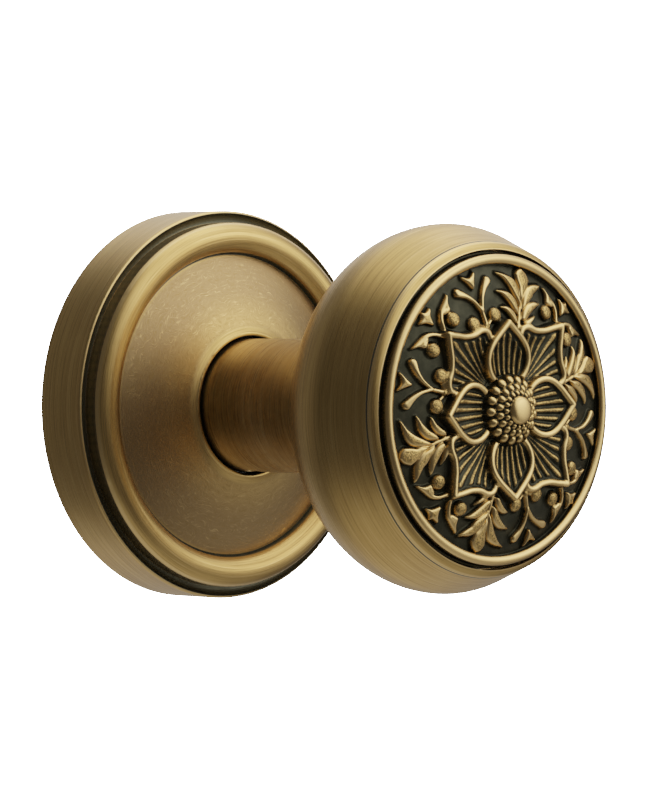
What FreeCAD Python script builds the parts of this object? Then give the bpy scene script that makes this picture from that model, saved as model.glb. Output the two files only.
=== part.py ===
import FreeCAD, Part
import math
import os
from types import SimpleNamespace

import Sketcher

# A door knob on its round rosette: the half set that goes on one side of a door.
#
# Every piece is drawn in the door's frame: x to the right, y up and z out from the door, with the
# door's face at z = 0 and the knob's axis on z. FACING then turns the piece into the part's own
# frame, where +Z is up and the knob points along -Y.
FACING = FreeCAD.Placement(FreeCAD.Vector(), FreeCAD.Rotation(FreeCAD.Vector(1, 0, 0), 90))

# Driving dimensions in millimetres and degrees. A name that ends in _z is a height above the door.
DIMENSIONS = {
    # How far a cut starts outside the surface that it goes through.
    "cut_margin": 1.0,
    # Rosette cover: a side, a cove, a bead and a dish that rises to a lip around the neck.
    "cover_radius": 31.75,
    "cover_bore": 29.95,
    "rim_z": 9.5,
    "rim_round": 0.4,
    "cove_z": 8.6,
    "cove_curve": 1.3,
    "bead_outer": 29.8,
    "bead_foot_z": 10.9,
    "bead_curve": 2.56,
    "crease_radius": 24.8,
    "crease_z": 10.5,
    "dish_curve": 90.0,
    "flare_start": 14.0,
    "flare_start_z": 14.45,
    "flare_curve": 5.0,
    "lip_radius": 12.0,
    "lip_z": 15.35,
    "lip_round": 0.4,
    "neck_hole": 11.25,
    "lip_inner_z": 15.2,
    "lip_under_z": 13.5,
    "dish_under_radius": 24.3,
    "bead_under_radius": 28.4,
    "bead_under_z": 8.9,
    "corner_under_z": 7.2,
    "snap_radius": 30.5,
    "snap_low_z": 4.5,
    "snap_high_z": 5.5,
    "snap_slope": 0.5,
    "pry_width": 6.0,
    "pry_height": 1.2,
    # Mounting plate, its hub and the bush in the hub.
    "plate_radius": 29.0,
    "plate_thick": 2.5,
    "hub_radius": 12.5,
    "hub_depth": 3.5,
    "bush_radius": 10.0,
    "bush_flange": 12.0,
    "bush_flange_z": 3.3,
    "shank_radius": 8.0,
    "running_gap": 0.05,
    # Threaded posts that the through bolts of the other side screw into.
    "post_offset": 19.0,
    "post_radius": 4.0,
    "post_collar": 3.0,
    "post_head": 3.9,
    "post_head_z": 3.5,
    "post_depth": 12.0,
    "post_thread": 2.1,
    "post_blind_z": 1.5,
    # Spring housing, its lid, its stops and the washer that the knob turns on.
    "housing_radius": 15.0,
    "housing_bore": 14.2,
    "housing_hole": 12.4,
    "housing_z": 9.6,
    "lid_z": 8.8,
    "lid_hole": 8.6,
    "stop_inner": 13.0,
    "stop_half_angle": 8.0,
    "stop_angle": 78.0,
    "ear_reach": 18.0,
    "ear_round": 3.6,
    "ear_root": 14.6,
    "washer_bore": 8.1,
    "washer_radius": 10.6,
    "washer_thick": 0.8,
    # Return spring.
    "wire_radius": 0.6,
    "coil_radius": 10.6,
    "coil_z": 4.1,
    "coil_pitch": 1.3,
    "leg_reach": 13.8,
    "leg_angle": 12.6,
    # Rivets and cover clips.
    "rivet_radius": 1.25,
    "rivet_head": 2.0,
    "rivet_head_thick": 0.8,
    "clip_thick": 0.6,
    "clip_width": 7.0,
    "clip_foot": 24.2,
    "clip_rivet_radius": 26.2,
    "clip_back": 29.2,
    "clip_bump": 30.05,
    "clip_bump_low_z": 4.3,
    "clip_bump_z": 5.0,
    "clip_bump_high_z": 5.8,
    "clip_top_z": 6.6,
    "clip_start_angle": 30.0,
    # Neck of the knob, from the circlip at its back end to the spigot in the shell.
    "shank_end": 7.5,
    "flat_half": 7.0,
    "flat_z": 8.4,
    "groove_radius": 7.4,
    "groove_back": 5.8,
    "groove_front": 4.6,
    "shoulder_z": 10.5,
    "neck_radius": 10.85,
    "neck_straight_z": 27.0,
    "neck_curve": 39.8,
    "neck_foot": 16.5,
    "neck_end_z": 47.5,
    "spigot_radius": 8.0,
    "spigot_z": 49.5,
    "spindle_side": 8.0,
    "socket_side": 8.2,
    "socket_z": 24.5,
    "bolt_hole": 2.2,
    # Retaining ring, shim and cam on the neck.
    "ring_bore": 7.45,
    "ring_radius": 10.4,
    "ring_thick": 1.1,
    "ring_gap": 5.0,
    "shim_radius": 11.2,
    "shim_thick": 0.9,
    "cam_bore": 6.5,
    "cam_radius": 12.6,
    "cam_z": 7.5,
    "cam_tab": 13.8,
    "cam_overlap": 0.5,
    "cam_lug_inner": 11.5,
    "cam_lug_z": 3.7,
    "cam_lug_half_angle": 9.0,
    # Spindle and the screws that hold the knob together.
    "spindle_back": 27.0,
    "spindle_front_z": 19.4,
    "spindle_chamfer": 0.8,
    "screw_z": 17.5,
    "screw_hole": 2.5,
    "screw_radius": 2.45,
    "screw_length": 6.2,
    "screw_hex": 1.45,
    "screw_hex_deep": 2.2,
    "bolt_radius": 2.0,
    "bolt_head": 3.5,
    "bolt_head_thick": 4.0,
    "bolt_end_z": 66.0,
    "bolt_hex": 1.75,
    "bolt_hex_deep": 2.2,
    "bolt_washer": 3.8,
    "bolt_washer_thick": 0.6,
    # Hollow shell of the knob.
    "shell_back_curve": 20.0,
    "shell_corner": 23.07,
    "shell_corner_z": 50.2,
    "shell_corner_curve": 12.76,
    "shell_radius": 29.03,
    "shell_widest_z": 61.0,
    "shell_front_curve": 8.0,
    "shell_cone": 28.45,
    "shell_cone_z": 64.0,
    "ring_outer": 26.1,
    "ring_outer_z": 70.1,
    "ring_curve": 2.0,
    "ring_inner": 24.9,
    "ring_inner_z": 71.2,
    "seat_z": 68.2,
    "seat_bore": 22.0,
    "seat_back_z": 66.8,
    "shell_wall": 2.0,
    "shell_inner_corner": 22.0,
    "shell_inner_corner_z": 51.9,
    "shell_floor_radius": 16.0,
    "shell_inner_cone": 26.3,
    "shell_inner_cone_z": 63.6,
    # Face medallion: a flange, a raised rim, a domed field, eight petals and a centre boss.
    "medal_flange": 24.6,
    "medal_flange_z": 70.6,
    "medal_radius": 24.15,
    "medal_rim_z": 72.0,
    "medal_rim_curve": 0.85,
    "field_radius": 22.6,
    "field_z": 71.3,
    "field_middle": 14.0,
    "field_middle_z": 73.1,
    "dome_radius": 5.5,
    "dome_foot_z": 73.7,
    "dome_side_z": 74.5,
    "bead_ring": 4.0,
    "bead_ring_z": 76.2,
    "button_radius": 2.2,
    "button_z": 77.0,
    "button_side_z": 77.6,
    "button_top_z": 77.8,
    "nut_radius": 5.0,
    "nut_back_z": 60.0,
    "nut_thread_z": 67.0,
    "flower_turn": 3.0,
    "petal_spacing": 90.0,
    "petal_root": 3.0,
    "petal_root_z": 70.5,
    "front_petal_tip": 13.6,
    "front_petal_half": 4.35,
    "front_petal_middle": 9.0,
    "front_petal_top_z": 75.4,
    "front_petal_curve": 7.5,
    "back_petal_tip": 17.4,
    "back_petal_half": 4.9,
    "back_petal_middle": 12.0,
    "back_petal_top_z": 74.7,
    "back_petal_curve": 9.0,
}

FULL_TURN = 360
UP = 90
DOWN = -90
SMALLEST_CHANGE = 1e-6
HEXAGON_SIDES = 6
POST_COUNT = 2
EAR_COUNT = 2
FLAT_COUNT = 2
CLIP_COUNT = 3
PETAL_COUNT = 4
COIL_TURNS = 2

os.makedirs("parts", exist_ok=True)
doc = FreeCAD.newDocument("door_knob")
sub_parts = []


class Length:
    """A length or an angle: its value, and the sheet expression that gives it."""

    def __init__(self, value, text):
        self.value = value
        self.text = text

    def __add__(self, other):
        return combine(self, "+", other)

    def __sub__(self, other):
        return combine(self, "-", other)

    def __mul__(self, other):
        return combine(self, "*", other)

    def __truediv__(self, other):
        return combine(self, "/", other)

    def __neg__(self):
        return Length(-self.value, f"(-1 * {self.text})")


def as_length(number):
    """A plain number as a Length that doesn't depend on the sheet."""
    if isinstance(number, Length):
        return number
    return Length(float(number), f"({float(number)})")


def combine(first, sign, second):
    """The sum, difference, product or quotient of two lengths, as a value and as an expression."""
    second = as_length(second)
    results = {
        "+": first.value + second.value,
        "-": first.value - second.value,
        "*": first.value * second.value,
        "/": first.value / (second.value or 1.0),
    }
    return Length(results[sign], f"({first.text} {sign} {second.text})")


def other_leg(hypotenuse, leg):
    """The third side of a right-angled triangle."""
    value = math.sqrt(hypotenuse.value**2 - leg.value**2)
    return Length(value, f"sqrt({hypotenuse.text}^2 - {leg.text}^2)")


def polar(radius, angle):
    """The point at an angle in degrees, counted from +x towards +y."""
    angle = as_length(angle)
    turn = math.radians(angle.value)
    across = Length(radius.value * math.cos(turn), f"({radius.text} * cos({angle.text}))")
    up = Length(radius.value * math.sin(turn), f"({radius.text} * sin({angle.text}))")
    return across, up


def fill_sheet():
    """Writes the driving dimensions to a spreadsheet, and returns them as Lengths by name."""
    sheet = doc.addObject("Spreadsheet::Sheet", "Sizes")
    lengths = {}
    for row, (name, value) in enumerate(DIMENSIONS.items(), start=1):
        sheet.set(f"A{row}", name)
        sheet.set(f"B{row}", str(value))
        sheet.setAlias(f"B{row}", name)
        lengths[name] = Length(value, f"Sizes.{name}")
    doc.recompute()
    return SimpleNamespace(**lengths)


size = fill_sheet()


# Sketches ------------------------------------------------------------------------------------


def new_body(label, angle=0.0, up=0.0):
    """A body of its own, turned by an angle about the knob's axis and then moved up."""
    body = doc.addObject("PartDesign::Body", label)
    body.Label = label
    place = FreeCAD.Placement(
        FreeCAD.Vector(0, up, 0), FreeCAD.Rotation(FreeCAD.Vector(0, 0, 1), angle)
    )
    body.Placement = FACING * place
    sub_parts.append(body)
    return body


def sketch_on(body, role, name, height=None, turn=0.0):
    """A sketch on one of the body's origin planes, or at a height above it, turned in its plane."""
    sketch = body.newObject("Sketcher::SketchObject", f"{body.Label}_{name}")
    plane = [f for f in body.Origin.OriginFeatures if f.Role == role][0]
    sketch.AttachmentSupport = (plane, [""])
    sketch.MapMode = "FlatFace"
    if height is not None:
        sketch.AttachmentOffset = FreeCAD.Placement(
            FreeCAD.Vector(0, 0, height.value), FreeCAD.Rotation(FreeCAD.Vector(0, 0, 1), turn)
        )
        sketch.setExpression("AttachmentOffset.Base.z", height.text)
    return sketch


def tie(sketch, kind, refs, length):
    """Adds a dimension to a sketch and ties it to the sheet."""
    index = sketch.addConstraint(Sketcher.Constraint(kind, *refs, length.value))
    name = f"{kind.lower()}_{index}"
    sketch.renameConstraint(index, name)
    sketch.setExpression(f"Constraints.{name}", length.text)


def arc_between(start, end, radius):
    """The arc from start to end: anticlockwise, or clockwise where the radius is negative."""
    chord = end - start
    left = FreeCAD.Vector(-chord.y, chord.x, 0).normalize()
    side = math.copysign(1.0, radius)
    inward = math.sqrt(max(radius**2 - (chord.Length / 2) ** 2, 0.0))
    centre = (start + end) / 2 + left * side * inward
    first, last = (start, end) if side > 0 else (end, start)
    first_angle = math.atan2(first.y - centre.y, first.x - centre.x)
    last_angle = math.atan2(last.y - centre.y, last.x - centre.x)
    circle = Part.Circle(centre, FreeCAD.Vector(0, 0, 1), abs(radius))
    return Part.ArcOfCircle(circle, first_angle, last_angle)


def outline(sketch, corners):
    """Draws a closed outline. A corner is (x, y), or (x, y, radius) where an arc leads to the next."""
    points = [FreeCAD.Vector(corner[0].value, corner[1].value, 0) for corner in corners]
    edges = []
    for index, corner in enumerate(corners):
        start = points[index]
        end = points[(index + 1) % len(points)]
        if len(corner) == 2:
            edges.append((sketch.addGeometry(Part.LineSegment(start, end), False), 1, 2))
            continue
        arc = sketch.addGeometry(arc_between(start, end, corner[2].value), False)
        clockwise = corner[2].value < 0
        edges.append((arc, 2, 1) if clockwise else (arc, 1, 2))
    for index, corner in enumerate(corners):
        edge, start_end, far_end = edges[index]
        next_edge, next_start, _ = edges[(index + 1) % len(edges)]
        sketch.addConstraint(Sketcher.Constraint("Coincident", edge, far_end, next_edge, next_start))
        tie(sketch, "DistanceX", (-1, 1, edge, start_end), corner[0])
        tie(sketch, "DistanceY", (-1, 1, edge, start_end), corner[1])
        if len(corner) == 3:
            bend = -corner[2] if corner[2].value < 0 else corner[2]
            tie(sketch, "Radius", (edge,), bend)


def round_hole(sketch, x, y, radius):
    """Draws a circle."""
    circle = Part.Circle(
        FreeCAD.Vector(x.value, y.value, 0), FreeCAD.Vector(0, 0, 1), radius.value
    )
    index = sketch.addGeometry(circle, False)
    tie(sketch, "DistanceX", (-1, 1, index, 3), x)
    tie(sketch, "DistanceY", (-1, 1, index, 3), y)
    tie(sketch, "Radius", (index,), radius)


def rectangle(sketch, left, right, low, high):
    """Draws a rectangle."""
    outline(sketch, [(left, low), (right, low), (right, high), (left, high)])


def hexagon(sketch, radius):
    """Draws a hexagon about the sketch's origin, with its corners on a circle."""
    outline(sketch, [polar(radius, FULL_TURN / HEXAGON_SIDES * c) for c in range(HEXAGON_SIDES)])


def sector(sketch, inner, outer, middle, half_angle):
    """Draws a piece of a ring, from half_angle before the middle angle to half_angle after it."""
    before = as_length(middle) - half_angle
    after = as_length(middle) + half_angle
    outline(
        sketch,
        [
            polar(inner, before),
            (*polar(outer, before), outer),
            polar(outer, after),
            (*polar(inner, after), -inner),
        ],
    )


# Features ------------------------------------------------------------------------------------


def finish(body, feature, grows):
    """Makes the feature the body's tip, and checks that it added or removed material."""
    before = body.Shape.Volume if body.Shape and not body.Shape.isNull() else 0.0
    body.Tip = feature
    doc.recompute()
    change = body.Shape.Volume - before
    if abs(change) < SMALLEST_CHANGE or (change > 0) != grows:
        raise RuntimeError(f"{feature.Name} changed the volume by {change:.3f}")
    return feature


def spin(body, corners):
    """Adds a solid of revolution about the body's z axis from its half section (radius, z)."""
    section = sketch_on(body, "XZ_Plane", "half_section")
    outline(section, corners)
    feature = body.newObject("PartDesign::Revolution", f"{body.Label}_spin")
    feature.Profile = section
    feature.ReferenceAxis = (section, ["V_Axis"])
    feature.Angle = FULL_TURN
    return finish(body, feature, True)


def turned(label, corners, up=0.0):
    """A piece turned on a lathe."""
    body = new_body(label, up=up)
    spin(body, corners)
    return body


def pad(body, sketch, length):
    """Adds a pad that rises from its sketch."""
    feature = body.newObject("PartDesign::Pad", f"{sketch.Name}_pad")
    feature.Profile = sketch
    feature.Length = length.value
    feature.setExpression("Length", length.text)
    return finish(body, feature, True)


def pocket(body, sketch, length, towards_normal=False):
    """Cuts down from a sketch into the body, or up where towards_normal is set."""
    feature = body.newObject("PartDesign::Pocket", f"{sketch.Name}_pocket")
    feature.Profile = sketch
    feature.Reversed = towards_normal
    feature.Length = length.value
    feature.setExpression("Length", length.text)
    return finish(body, feature, False)


def repeat(body, feature, sketch, count):
    """Repeats a feature evenly about the axis of a sketch that lies across the body's z axis."""
    grows = feature.TypeId != "PartDesign::Pocket"
    pattern = body.newObject("PartDesign::PolarPattern", f"{feature.Name}_round")
    pattern.Originals = [feature]
    pattern.Axis = (sketch, ["N_Axis"])
    pattern.Angle = FULL_TURN
    pattern.Occurrences = count
    return finish(body, pattern, grows)


def ring(label, inner, outer, low, high):
    """A flat washer or disc with a hole."""
    return turned(label, [(inner, low), (outer, low), (outer, high), (inner, high)])


# Rosette: the pieces that stay still ---------------------------------------------------------

zero = as_length(0)


def rosette_cover():
    """The brass cover that shows: snaps over the clips of the mounting plate."""
    body = turned(
        "rosette_cover",
        [
            (size.cover_bore, zero),
            (size.cover_radius, zero),
            (size.cover_radius, size.rim_z - size.rim_round, size.rim_round),
            (size.cover_radius - size.rim_round, size.rim_z, -size.cove_curve),
            (size.bead_outer, size.cove_z),
            (size.bead_outer, size.bead_foot_z, size.bead_curve),
            (size.crease_radius, size.crease_z, size.dish_curve),
            (size.flare_start, size.flare_start_z, -size.flare_curve),
            (size.lip_radius, size.lip_z, size.lip_round),
            (size.neck_hole, size.lip_inner_z),
            (size.neck_hole, size.lip_under_z),
            (size.dish_under_radius, size.bead_under_z),
            (size.bead_under_radius, size.bead_under_z),
            (size.cover_bore, size.corner_under_z),
            (size.cover_bore, size.snap_high_z + size.snap_slope),
            (size.snap_radius, size.snap_high_z),
            (size.snap_radius, size.snap_low_z),
            (size.cover_bore, size.snap_low_z - size.snap_slope),
        ],
    )
    notch = sketch_on(body, "XY_Plane", "pry_notch", size.pry_height)
    half = size.pry_width / 2
    rectangle(notch, -half, half, -size.cover_radius - size.cut_margin, -size.cover_bore + size.cut_margin)
    pocket(body, notch, size.pry_height)


def mounting_plate():
    """The steel plate that is bolted to the door, with a hub that centres it in the bore."""
    body = turned(
        "mounting_plate",
        [
            (size.bush_radius, -size.hub_depth),
            (size.hub_radius, -size.hub_depth),
            (size.hub_radius, zero),
            (size.plate_radius, zero),
            (size.plate_radius, size.plate_thick),
            (size.bush_radius, size.plate_thick),
        ],
    )
    post_hole = sketch_on(body, "XY_Plane", "post_hole", size.plate_thick)
    round_hole(post_hole, zero, size.post_offset, size.post_collar)
    repeat(body, pocket(body, post_hole, size.plate_thick), post_hole, POST_COUNT)
    ear_hole = sketch_on(body, "XY_Plane", "ear_hole", size.plate_thick)
    round_hole(ear_hole, size.ear_reach, zero, size.rivet_radius)
    repeat(body, pocket(body, ear_hole, size.plate_thick), ear_hole, EAR_COUNT)
    clip_hole = sketch_on(body, "XY_Plane", "clip_hole", size.plate_thick)
    round_hole(clip_hole, *polar(size.clip_rivet_radius, size.clip_start_angle), size.rivet_radius)
    repeat(body, pocket(body, clip_hole, size.plate_thick), clip_hole, CLIP_COUNT)


def shank_bush():
    """The flanged bronze bush that the neck turns in."""
    bore = size.shank_radius + size.running_gap
    turned(
        "shank_bush",
        [
            (bore, -size.hub_depth),
            (size.bush_radius, -size.hub_depth),
            (size.bush_radius, size.plate_thick),
            (size.bush_flange, size.plate_thick),
            (size.bush_flange, size.bush_flange_z),
            (bore, size.bush_flange_z),
        ],
    )


def threaded_post(label, up):
    """A post riveted into the plate, with a blind thread that opens at its back end."""
    turned(
        label,
        [
            (size.post_thread, -size.post_depth),
            (size.post_radius, -size.post_depth),
            (size.post_radius, zero),
            (size.post_collar, zero),
            (size.post_collar, size.plate_thick),
            (size.post_head, size.plate_thick),
            (size.post_head, size.post_head_z),
            (zero, size.post_head_z),
            (zero, size.post_blind_z),
            (size.post_thread, size.post_blind_z),
        ],
        up=up,
    )


def spring_housing():
    """The pressed cup around the return spring, with the spring's anchor and two end stops."""
    body = turned(
        "spring_housing",
        [
            (size.housing_hole, size.plate_thick),
            (size.housing_radius, size.plate_thick),
            (size.housing_radius, size.housing_z),
            (size.housing_bore, size.housing_z),
            (size.housing_bore, size.bush_flange_z),
            (size.housing_hole, size.bush_flange_z),
        ],
    )
    thick = size.bush_flange_z - size.plate_thick
    ear = sketch_on(body, "XY_Plane", "ear", size.plate_thick)
    outline(
        ear,
        [
            (size.ear_root, -size.ear_round),
            (size.ear_reach, -size.ear_round, size.ear_round),
            (size.ear_reach + size.ear_round, zero, size.ear_round),
            (size.ear_reach, size.ear_round),
            (size.ear_root, size.ear_round),
        ],
    )
    round_hole(ear, size.ear_reach, zero, size.rivet_radius)
    repeat(body, pad(body, ear, thick), ear, EAR_COUNT)
    into_wall = (size.housing_bore + size.housing_radius) / 2
    places = {
        "anchor": as_length(DOWN),
        "right_stop": -size.stop_angle + UP,
        "left_stop": size.stop_angle + UP,
    }
    for name, angle in places.items():
        block = sketch_on(body, "XY_Plane", name, size.plate_thick)
        sector(block, size.stop_inner, into_wall, angle, size.stop_half_angle)
        pad(body, block, size.lid_z - size.plate_thick)


def return_spring():
    """The torsion spring: two coils, and a leg at each end that stands out to the anchor."""
    start = DOWN + size.leg_angle.value
    swept = FULL_TURN * COIL_TURNS - 2 * size.leg_angle.value
    helix = doc.addObject("Part::Helix", "spring_helix")
    helix.setExpression("Radius", size.coil_radius.text)
    helix.setExpression("Pitch", size.coil_pitch.text)
    helix.setExpression("Height", f"{size.coil_pitch.text} * {swept / FULL_TURN}")
    wire = doc.addObject("Part::Circle", "spring_wire")
    wire.setExpression("Radius", size.wire_radius.text)
    upright = FreeCAD.Rotation(FreeCAD.Vector(1, 0, 0), 90)
    wire.Placement = FreeCAD.Placement(FreeCAD.Vector(size.coil_radius.value, 0, 0), upright)
    coil = doc.addObject("Part::Sweep", "spring_coil")
    coil.Sections = [wire]
    coil.Spine = (helix, ["Edge1"])
    coil.Solid = True
    coil.Frenet = True
    turn = FreeCAD.Rotation(FreeCAD.Vector(0, 0, 1), start)
    coil.Placement = FreeCAD.Placement(FreeCAD.Vector(0, 0, size.coil_z.value), turn)
    pieces = [coil]
    climb = size.coil_pitch.value * swept / FULL_TURN
    for name, angle, height in (("low", start, 0.0), ("high", start + swept, climb)):
        pieces += spring_leg(name, angle, size.coil_z.value + height)
    spring = doc.addObject("Part::MultiFuse", "return_spring")
    spring.Shapes = pieces
    spring.Label = "return_spring"
    spring.Placement = FACING
    sub_parts.append(spring)


def spring_leg(name, angle, height):
    """A straight leg that points out from the axis, with a round bend where it leaves the coil."""
    across, up = polar(size.coil_radius, angle)
    place = FreeCAD.Vector(across.value, up.value, height)
    outward = FreeCAD.Rotation(FreeCAD.Vector(0, 0, 1), FreeCAD.Vector(across.value, up.value, 0))
    leg = doc.addObject("Part::Cylinder", f"spring_{name}_leg")
    leg.setExpression("Radius", size.wire_radius.text)
    leg.setExpression("Height", (size.leg_reach - size.coil_radius).text)
    leg.Placement = FreeCAD.Placement(place, outward)
    bend = doc.addObject("Part::Sphere", f"spring_{name}_bend")
    bend.setExpression("Radius", size.wire_radius.text)
    bend.Placement = FreeCAD.Placement(place, FreeCAD.Rotation())
    return [leg, bend]


def rivets(label, places, grip_z):
    """Rivets that hold a pressed part on the plate: a shank through both and a flat head."""
    pieces = []
    for index, (across, up) in enumerate(places, start=1):
        foot = FreeCAD.Vector(across.value, up.value, 0)
        shank = doc.addObject("Part::Cylinder", f"{label}_shank_{index}")
        shank.setExpression("Radius", size.rivet_radius.text)
        shank.setExpression("Height", grip_z.text)
        shank.Placement = FreeCAD.Placement(foot, FreeCAD.Rotation())
        head = doc.addObject("Part::Cylinder", f"{label}_head_{index}")
        head.setExpression("Radius", size.rivet_head.text)
        head.setExpression("Height", size.rivet_head_thick.text)
        seat = foot + FreeCAD.Vector(0, 0, grip_z.value)
        head.Placement = FreeCAD.Placement(seat, FreeCAD.Rotation())
        pieces += [shank, head]
    group = doc.addObject("Part::MultiFuse", label)
    group.Shapes = pieces
    group.Label = label
    group.Placement = FACING
    sub_parts.append(group)


def cover_clip(number):
    """A spring clip on the plate's edge, bent out where it snaps into the cover's groove."""
    angle = size.clip_start_angle.value + FULL_TURN / CLIP_COUNT * (number - 1)
    body = new_body(f"cover_clip_{number}", angle=angle)
    strip = sketch_on(body, "XZ_Plane", "strip", -size.clip_width / 2)
    front = size.clip_back - size.clip_thick
    outline(
        strip,
        [
            (size.clip_foot, size.plate_thick),
            (size.clip_back, size.plate_thick),
            (size.clip_back, size.clip_bump_low_z),
            (size.clip_bump, size.clip_bump_z),
            (size.clip_back, size.clip_bump_high_z),
            (size.clip_back, size.clip_top_z),
            (front, size.clip_top_z),
            (front, size.clip_bump_high_z),
            (size.clip_bump - size.clip_thick, size.clip_bump_z),
            (front, size.clip_bump_low_z),
            (front, size.plate_thick + size.clip_thick),
            (size.clip_foot, size.plate_thick + size.clip_thick),
        ],
    )
    pad(body, strip, size.clip_width)
    hole = sketch_on(body, "XY_Plane", "rivet_hole", size.plate_thick + size.clip_thick)
    round_hole(hole, size.clip_rivet_radius, zero, size.rivet_radius)
    pocket(body, hole, size.clip_thick)


# Knob: the pieces that turn ------------------------------------------------------------------


def double_flat(sketch, gap):
    """Draws the shank's section where it has two flats, made larger all round by a gap."""
    side = size.flat_half + gap
    radius = size.shank_radius + gap
    corner = other_leg(radius, side)
    outline(
        sketch,
        [(side, -corner), (side, corner, radius), (-side, corner), (-side, -corner, radius)],
    )


def knob_neck():
    """The brass neck: a bearing shank with flats, a plain stem and a flare up to the shell."""
    body = turned(
        "knob_neck",
        [
            (zero, -size.shank_end),
            (size.shank_radius, -size.shank_end),
            (size.shank_radius, -size.groove_back),
            (size.groove_radius, -size.groove_back),
            (size.groove_radius, -size.groove_front),
            (size.shank_radius, -size.groove_front),
            (size.shank_radius, size.shoulder_z),
            (size.neck_radius, size.shoulder_z),
            (size.neck_radius, size.neck_straight_z, -size.neck_curve),
            (size.neck_foot, size.neck_end_z),
            (size.spigot_radius, size.neck_end_z),
            (size.spigot_radius, size.spigot_z),
            (zero, size.spigot_z),
        ],
    )
    flat = sketch_on(body, "XY_Plane", "flat", size.flat_z)
    beyond = size.shank_radius + size.cut_margin
    rectangle(flat, size.flat_half, beyond, -beyond, beyond)
    repeat(body, pocket(body, flat, size.flat_z + size.shank_end), flat, FLAT_COUNT)
    socket = sketch_on(body, "XY_Plane", "socket", size.socket_z)
    half = size.socket_side / 2
    rectangle(socket, -half, half, -half, half)
    pocket(body, socket, size.socket_z + size.shank_end)
    bolt_hole = sketch_on(body, "XY_Plane", "bolt_hole", size.spigot_z)
    round_hole(bolt_hole, zero, zero, size.bolt_hole)
    pocket(body, bolt_hole, size.spigot_z - size.socket_z)
    screw_hole = sketch_on(body, "XZ_Plane", "screw_hole")
    round_hole(screw_hole, zero, size.screw_z, size.screw_hole)
    pocket(body, screw_hole, size.neck_radius, towards_normal=True)


def retaining_ring():
    """The open ring in the shank's groove, which keeps the knob on its rosette."""
    back = -size.groove_back + size.running_gap
    body = ring("retaining_ring", size.ring_bore, size.ring_radius, back, back + size.ring_thick)
    gap = sketch_on(body, "XY_Plane", "gap", back + size.ring_thick)
    rectangle(gap, -size.ring_gap / 2, size.ring_gap / 2, zero, size.ring_radius + size.cut_margin)
    pocket(body, gap, size.ring_thick)


def shim_washer():
    """The steel shim that takes up the play between the bush and the retaining ring."""
    back = -size.groove_front
    ring("shim_washer", size.washer_bore, size.shim_radius, back, back + size.shim_thick)


def return_cam():
    """The cam on the shank's flats: its lug bends the spring, and its tab meets the end stops."""
    body = ring("return_cam", size.cam_bore, size.cam_radius, size.cam_z, size.flat_z)
    inside = size.cam_radius - size.cam_overlap
    tab = sketch_on(body, "XY_Plane", "tab", size.cam_z)
    sector(tab, inside, size.cam_tab, UP, size.stop_half_angle)
    pad(body, tab, size.flat_z - size.cam_z)
    lug = sketch_on(body, "XY_Plane", "lug", size.cam_lug_z)
    sector(lug, size.cam_lug_inner, size.cam_radius, DOWN, size.cam_lug_half_angle)
    pad(body, lug, size.flat_z - size.cam_lug_z)
    hole = sketch_on(body, "XY_Plane", "hole", size.flat_z)
    double_flat(hole, size.running_gap)
    pocket(body, hole, size.flat_z - size.cam_z)


def spindle():
    """The square bar that the latch turns on, chamfered at both ends."""
    body = new_body("spindle")
    section = sketch_on(body, "XY_Plane", "section", -size.spindle_back)
    half = size.spindle_side / 2
    rectangle(section, -half, half, -half, half)
    bar = pad(body, section, size.spindle_back + size.spindle_front_z)
    end_edges = [
        f"Edge{index}"
        for index, edge in enumerate(bar.Shape.Edges, start=1)
        if edge.Length < (size.spindle_side + size.cut_margin).value
    ]
    chamfer = body.newObject("PartDesign::Chamfer", "spindle_chamfer")
    chamfer.Base = (bar, end_edges)
    chamfer.Size = size.spindle_chamfer.value
    chamfer.setExpression("Size", size.spindle_chamfer.text)
    finish(body, chamfer, False)


def set_screw():
    """The socket set screw in the neck, whose end bears on the spindle."""
    downward = FreeCAD.Rotation(FreeCAD.Vector(1, 0, 0), 90)
    tip = FreeCAD.Vector(0, -size.spindle_side.value / 2, size.screw_z.value)
    blank = doc.addObject("Part::Cylinder", "screw_blank")
    blank.setExpression("Radius", size.screw_radius.text)
    blank.setExpression("Height", size.screw_length.text)
    blank.Placement = FreeCAD.Placement(tip, downward)
    socket = doc.addObject("Part::Prism", "screw_socket")
    socket.Polygon = HEXAGON_SIDES
    socket.setExpression("Circumradius", size.screw_hex.text)
    socket.setExpression("Height", size.screw_hex_deep.text)
    floor = tip - FreeCAD.Vector(0, (size.screw_length - size.screw_hex_deep).value, 0)
    socket.Placement = FreeCAD.Placement(floor, downward)
    screw = doc.addObject("Part::Cut", "set_screw")
    screw.Base = blank
    screw.Tool = socket
    screw.Label = "set_screw"
    screw.Placement = FACING
    sub_parts.append(screw)


def tie_bolt():
    """The long screw that pulls the medallion and the shell on to the neck."""
    seat = size.socket_z - size.bolt_washer_thick
    back = seat - size.bolt_head_thick
    body = turned(
        "tie_bolt",
        [
            (zero, back),
            (size.bolt_head, back),
            (size.bolt_head, seat),
            (size.bolt_radius, seat),
            (size.bolt_radius, size.bolt_end_z),
            (zero, size.bolt_end_z),
        ],
    )
    socket = sketch_on(body, "XY_Plane", "hex_socket", back + size.bolt_hex_deep)
    hexagon(socket, size.bolt_hex)
    pocket(body, socket, size.bolt_hex_deep)


def tie_washer():
    """The lock washer under the tie bolt's head."""
    seat = size.socket_z - size.bolt_washer_thick
    ring("tie_washer", size.bolt_hole, size.bolt_washer, seat, size.socket_z)


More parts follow.
